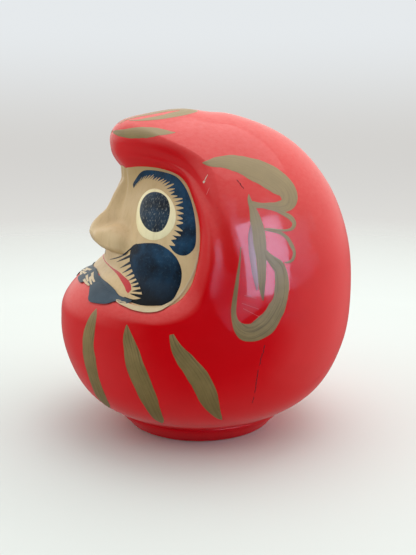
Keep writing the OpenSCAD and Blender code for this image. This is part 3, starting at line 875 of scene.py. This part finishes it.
EDGE_LINE = [(36, -7.1, 0.3), (39.1, -7.5, 0.6), (42.7, -7.9, 0.7), (46.5, -8.3, 0.8), (51, -8.4, 0.9),
             (55, -7.8, 0.9), (57.9, -6.5, 0.8), (60.6, -4.6, 0.7), (63.2, -1.6, 0.7), (65.6, 2.4, 0.6),
             (67.2, 6, 0.6), (68.2, 10, 0.5), (68.8, 14, 0.4)]
add_pair("face_edge_line", [stroke(EDGE_LINE, bridging_distance, lift=0.15 * MM, columns=13)], CREAM_LINE)

# Gold brushwork of the hood and robe
GOLD_STROKES = {
    "brim_leaf": [(2, 51.7, 0.6), (14.5, 51.7, 2.3), (23, 52.4, 3.7), (30.5, 53.5, 4.7), (36.5, 54.5, 5.3),
                  (42, 55.5, 4.2), (46.5, 56.4, 1.9), (49.5, 57.2, 0.3)],
    "crown_curl": [(3.5, 55, 1.2), (6.5, 60, 3.4), (8.5, 65, 4.6), (9.5, 70, 4.8), (13, 75, 4.6),
                   (19, 78, 4.4), (26, 78.5, 5.2), (32, 74.5, 5.2), (31, 70.8, 5.2), (29, 66.8, 4.6),
                   (26, 63.3, 3.8), (22, 60.6, 3), (18, 58.6, 1.3), (11.5, 57.3, 0.6)],
    "hook": [(68.7, 45.1, 0.2), (72.5, 45.2, 3), (77.5, 46.1, 4.9), (83, 46.2, 6.9), (88.5, 45.2, 8.3),
             (93.5, 43.3, 9.7), (98.5, 41.1, 10.8), (103, 38.2, 11.2), (106.2, 34.8, 10.3),
             (106.7, 31.1, 7.9), (104.5, 28.3, 4.7), (100.5, 27.5, 4), (97, 27.9, 2.8), (93.5, 28.3, 2),
             (90.3, 28.7, 2.5), (88.5, 29.3, 2.2)],
    "upper_curl": [(99.5, 26.5, 1.6), (102, 25, 1.7), (104.7, 23.4, 2), (105.8, 21.4, 1.7),
                   (104.5, 19.6, 1.2), (102, 19, 0.8), (98.6, 19.2, 0.7), (95.8, 19.6, 0.8),
                   (93, 19.8, 0.9)],
    "lower_curl": [(93, 19.8, 0.9), (95.8, 19.3, 1.2), (98.8, 18.3, 1.2), (101.4, 16.3, 1.4),
                   (102.7, 13.8, 1.5), (103.5, 11.4, 1.2), (102.7, 9.2, 1.2), (101, 8.2, 0.8),
                   (99, 8.1, 0.4)],
    "blade": [(88.8, 32.8, 0.2), (88.7, 30.5, 1.4), (89.5, 26.8, 2.5), (90, 23.2, 3.8), (90.4, 19.3, 4.3),
              (90.5, 15.2, 4.3), (90.6, 10, 3.5), (90.5, 5, 2.9), (90.4, 0.3, 1.9), (90.6, -2.6, 0.9),
              (90.7, -3.9, 0.2)],
    "loop": [(83.7, 14.1, 0.3), (83.2, 9.8, 0.5), (82.1, 2.6, 1.1), (81.2, -3.6, 1.5), (80.9, -7.3, 1.7),
             (81.4, -10.1, 2.3), (82.8, -12.3, 3.9), (85, -13.7, 5.7), (87.4, -13.8, 6.2), (89.7, -12.9, 6.8),
             (92.5, -11, 7.3), (95, -7.6, 6.4), (96.8, -4.1, 5.6), (97.6, 0.1, 5.3), (97.6, 3.4, 4.8),
             (97, 6.5, 4.3), (95.1, 8.6, 3.5), (93.3, 10.5, 2.4), (92.2, 12.4, 1.4)],
    "front_fold": [(29, -10.3, 0.3), (29, -12.2, 3.3), (28.3, -15.6, 5.2), (26.8, -20.2, 6.4),
                   (26.5, -24.5, 7.3), (26, -28.8, 7), (25.4, -33.7, 7.1), (24.3, -38.6, 7.5),
                   (21.8, -43.3, 6.7), (19.5, -46.5, 2.5), (19, -47.5, 0.3)],
    "middle_fold": [(44.5, -12.9, 0.4), (44.8, -14.7, 2.4), (45.5, -17.6, 4.6), (46.5, -21, 6.2),
                    (47.2, -25, 7.3), (48.3, -29, 7.5), (49.3, -33.5, 7.2), (49.9, -38, 6.5),
                    (50.1, -43, 5.3), (49.8, -47.6, 3.4), (49.4, -50.5, 0.4)],
    "side_fold": [(60.7, -14.5, 1.4), (61.2, -16, 2.4), (62.7, -19.1, 4.2), (65, -22.2, 5.7),
                  (67.2, -25, 6.7), (69.6, -28.7, 7.3), (71.6, -33.2, 7.1), (73.1, -37.8, 5.9),
                  (74.8, -42, 4), (76.8, -46, 2), (78.2, -48, 0.2)]}
DRY_STROKE = [(88.4, 21.5, 1.3), (87.6, 17.7, 2), (87.5, 13, 2.2), (87.8, 8, 2), (88.3, 3.7, 1.7),
              (88.8, -0.2, 0.8)]
for name, points in GOLD_STROKES.items():
    add_pair(f"{name}_gold", [stroke(points)], GOLD)
add_pair("blade_dry_gold", [stroke(DRY_STROKE, lift=-0.06 * MM)], DRY_GOLD)

# Wear on the doll's left side: cracks over the pasted seam, a chip and scratches
SEAM_CRACK = curve([(92, -17), (90.8, -21.5), (90, -27.5), (90, -34.5), (90, -40.5)], 0.5)
UPPER_CRACK = curve([(84.7, 38.6), (86, 36.5), (87.4, 34)], 0.5)


def broken_line(path, half, keep):
    """Short wandering dashes along a path, of half width half in mm; keep is the share that is drawn."""
    dashes = []
    for k in range(0, len(path) - 3, 3):
        if rng.random() < keep:
            dash = path[k:k + 4] + rng.normal(0, 0.12, (len(path[k:k + 4]), 2))
            widths = half * np.array([0.3, 1, 0.8, 0.3])[:len(dash), None]
            dashes.append(stroke(np.concatenate([dash, widths], 1), lift=-0.04 * MM, columns=5))
    return dashes


add_piece("seam_crack", broken_line(SEAM_CRACK, 0.3, 0.8) + broken_line(UPPER_CRACK, 0.3, 1), CRACK)
chip_angles = np.linspace(0, 360, 24, endpoint=False)
chip = np.stack([70 + 0.55 * cosd(chip_angles), 38.2 + 0.45 * sind(chip_angles)], -1)
chip += rng.normal(0, 0.04, chip.shape)
NICK = [(70.3, 38.7, 0.3), (70.8, 39.5, 0.25), (71.6, 40.6, 0.15)]
add_piece("chip_and_nick", [patch(chip, spacing=0.3), stroke(NICK, columns=5)], GESSO)
SCRATCHES = [((71.3, 33.6), (72.5, 35.6)), ((83.6, -4.3), (89.3, -6.5)), ((84, -6), (89.3, -8.9)),
             ((84.5, -1.8), (88.5, -3))]
add_piece("scratches", [stroke(straight(a, b, 0.16, 0.12), columns=5) for a, b in SCRATCHES], SCRATCH)

# ---- floor, light and camera
FLOOR_R, FADE_FROM, FADE_TO = 1.6, 0.45, 1.25


def pale_floor():
    """Disc that fades into the backdrop, so no horizon shows."""
    made, tree, shader = material("pale_floor", 0.75, specular=0.2)
    place = coords(tree)
    grain = noise(tree, place, 3, 2)
    tree.links.new(mix(tree, grain, (0.72, 0.78, 0.765), (0.69, 0.75, 0.735)), shader.inputs["Base Color"])
    reach = node(tree, "ShaderNodeVectorMath", [(0, place)], operation="LENGTH").outputs["Value"]
    clear = node(tree, "ShaderNodeBsdfTransparent").outputs[0]
    blend_node = node(tree, "ShaderNodeMixShader", [(0, span(tree, reach, FADE_FROM, FADE_TO)), (2, clear)])
    tree.links.new(shader.outputs[0], blend_node.inputs[1])
    tree.links.new(blend_node.outputs[0], tree.nodes["Material Output"].inputs["Surface"])
    return made


angles = np.linspace(0, 360, 96, endpoint=False)
floor_mesh = bpy.data.meshes.new("floor")
floor_rim = [(FLOOR_R * cosd(a), FLOOR_R * sind(a), 0) for a in angles]
floor_mesh.from_pydata(floor_rim, [], [list(range(len(angles)))])
floor = bpy.data.objects.new("floor", floor_mesh)
bpy.context.scene.collection.objects.link(floor)
floor.data.materials.append(pale_floor())
floor.visible_glossy = False


def studio_world():
    """Pale backdrop for the camera; soft room light with a darker side for everything else."""
    world = bpy.data.worlds.new("studio")
    bpy.context.scene.world = world
    world.use_nodes = True
    tree = world.node_tree
    direction = coords(tree, "Generated")
    up = node(tree, "ShaderNodeSeparateXYZ", [("Vector", direction)]).outputs["Z"]

    def ramp(low, high, stops):
        """Colours by height in the sky, from low to high."""
        made = node(tree, "ShaderNodeValToRGB", [("Fac", span(tree, up, low, high))])
        stretch = made.color_ramp
        stretch.interpolation = "EASE"
        stretch.elements.remove(stretch.elements[1])
        stretch.elements[0].color = (*stops[0][1], 1)
        for at, colour in stops[1:]:
            stretch.elements.new(at).color = (*colour, 1)
        return made.outputs["Color"]

    def lobe(turn, climb, low, high):
        """Soft patch of sky towards (turn, climb): 0 where the cosine to it is low, 1 where it is high."""
        toward = node(tree, "ShaderNodeVectorMath", [(0, direction), (1, tuple(heading(turn, climb)))],
                      operation="DOT_PRODUCT").outputs["Value"]
        return span(tree, toward, low, high)

    backdrop = ramp(-0.5, 0.3, [(0.0, (0.80, 0.80, 0.78)), (0.33, (0.82, 0.82, 0.785)),
                                (0.57, (0.66, 0.65, 0.63)), (0.76, (0.79, 0.82, 0.84))])
    room = ramp(-1, 1, [(0.0, (0.40, 0.39, 0.37)), (0.42, (0.40, 0.38, 0.36)), (0.54, (1.20, 1.17, 1.10)),
                        (0.72, (1.25, 1.22, 1.16)), (1.0, (0.95, 0.95, 0.95))])
    room = mix(tree, lobe(160, 15, 0.3, 0.95), room, (1.7, 1.65, 1.55))
    room = mix(tree, lobe(-5, -18, 0.78, 0.94), room, (0.70, 0.67, 0.64))
    room = mix(tree, lobe(78, -8, 0.3, 0.72), room, (0.02, 0.015, 0.015))
    seen = node(tree, "ShaderNodeLightPath").outputs["Is Camera Ray"]
    tree.links.new(mix(tree, seen, room, backdrop), tree.nodes["Background"].inputs["Color"])


LIGHT_AIM = Vector((0, 0, 0.12))
DOLL_MIDDLE = np.array([0, 0, 0.13])


def away(turn, climb, reach):
    """Place reach metres from the doll's middle."""
    return tuple(DOLL_MIDDLE + reach * heading(turn, climb))


def area_light(name, at, size, power, colour=(1, 1, 1), diffuse=True):
    """Light at a place, turned to the doll; without diffuse it only shows as a reflection."""
    light = bpy.data.lights.new(name, "AREA")
    light.shape = "RECTANGLE"
    light.size, light.size_y = size
    light.energy = power
    light.color = colour
    lamp = bpy.data.objects.new(name, light)
    lamp.location = at
    lamp.rotation_euler = (LIGHT_AIM - Vector(at)).to_track_quat("-Z", "Y").to_euler()
    lamp.visible_diffuse = diffuse
    lamp.visible_camera = False
    bpy.context.scene.collection.objects.link(lamp)


studio_world()
area_light("overhead", (-0.2, 0.25, 1.3), (1.1, 1.1), 5)
area_light("window", away(114, 18, 1.5), (1.15, 1.25), 95, (0.50, 0.60, 0.88), diffuse=False)
area_light("front", away(15, 30, 1.6), (1.0, 1.0), 1.2, (1.0, 0.97, 0.9))

CAM_TURN, CAM_CLIMB, CAM_DISTANCE, CAM_AIM_Z, CAM_SIDE = 75.0, 12.0, 0.6068, 0.113, 0.0068
# The camera's own axes: behind it, to its right and above it
behind = heading(CAM_TURN, CAM_CLIMB)
right = np.array([cosd(CAM_TURN), sind(CAM_TURN), 0])
above = np.cross(behind, right)
cam = bpy.data.cameras.new("camera")
cam.sensor_fit = "VERTICAL"
cam.sensor_height = 36
cam.lens = 50
cam_obj = bpy.data.objects.new("camera", cam)
placed = np.eye(4)
placed[:3, 0], placed[:3, 1], placed[:3, 2] = right, above, behind
placed[:3, 3] = np.array([0, 0, CAM_AIM_Z]) + CAM_DISTANCE * behind + CAM_SIDE * right
cam_obj.matrix_world = Matrix(placed.tolist())
bpy.context.scene.collection.objects.link(cam_obj)
bpy.context.scene.camera = cam_obj
bpy.context.scene.view_settings.view_transform = "Standard"
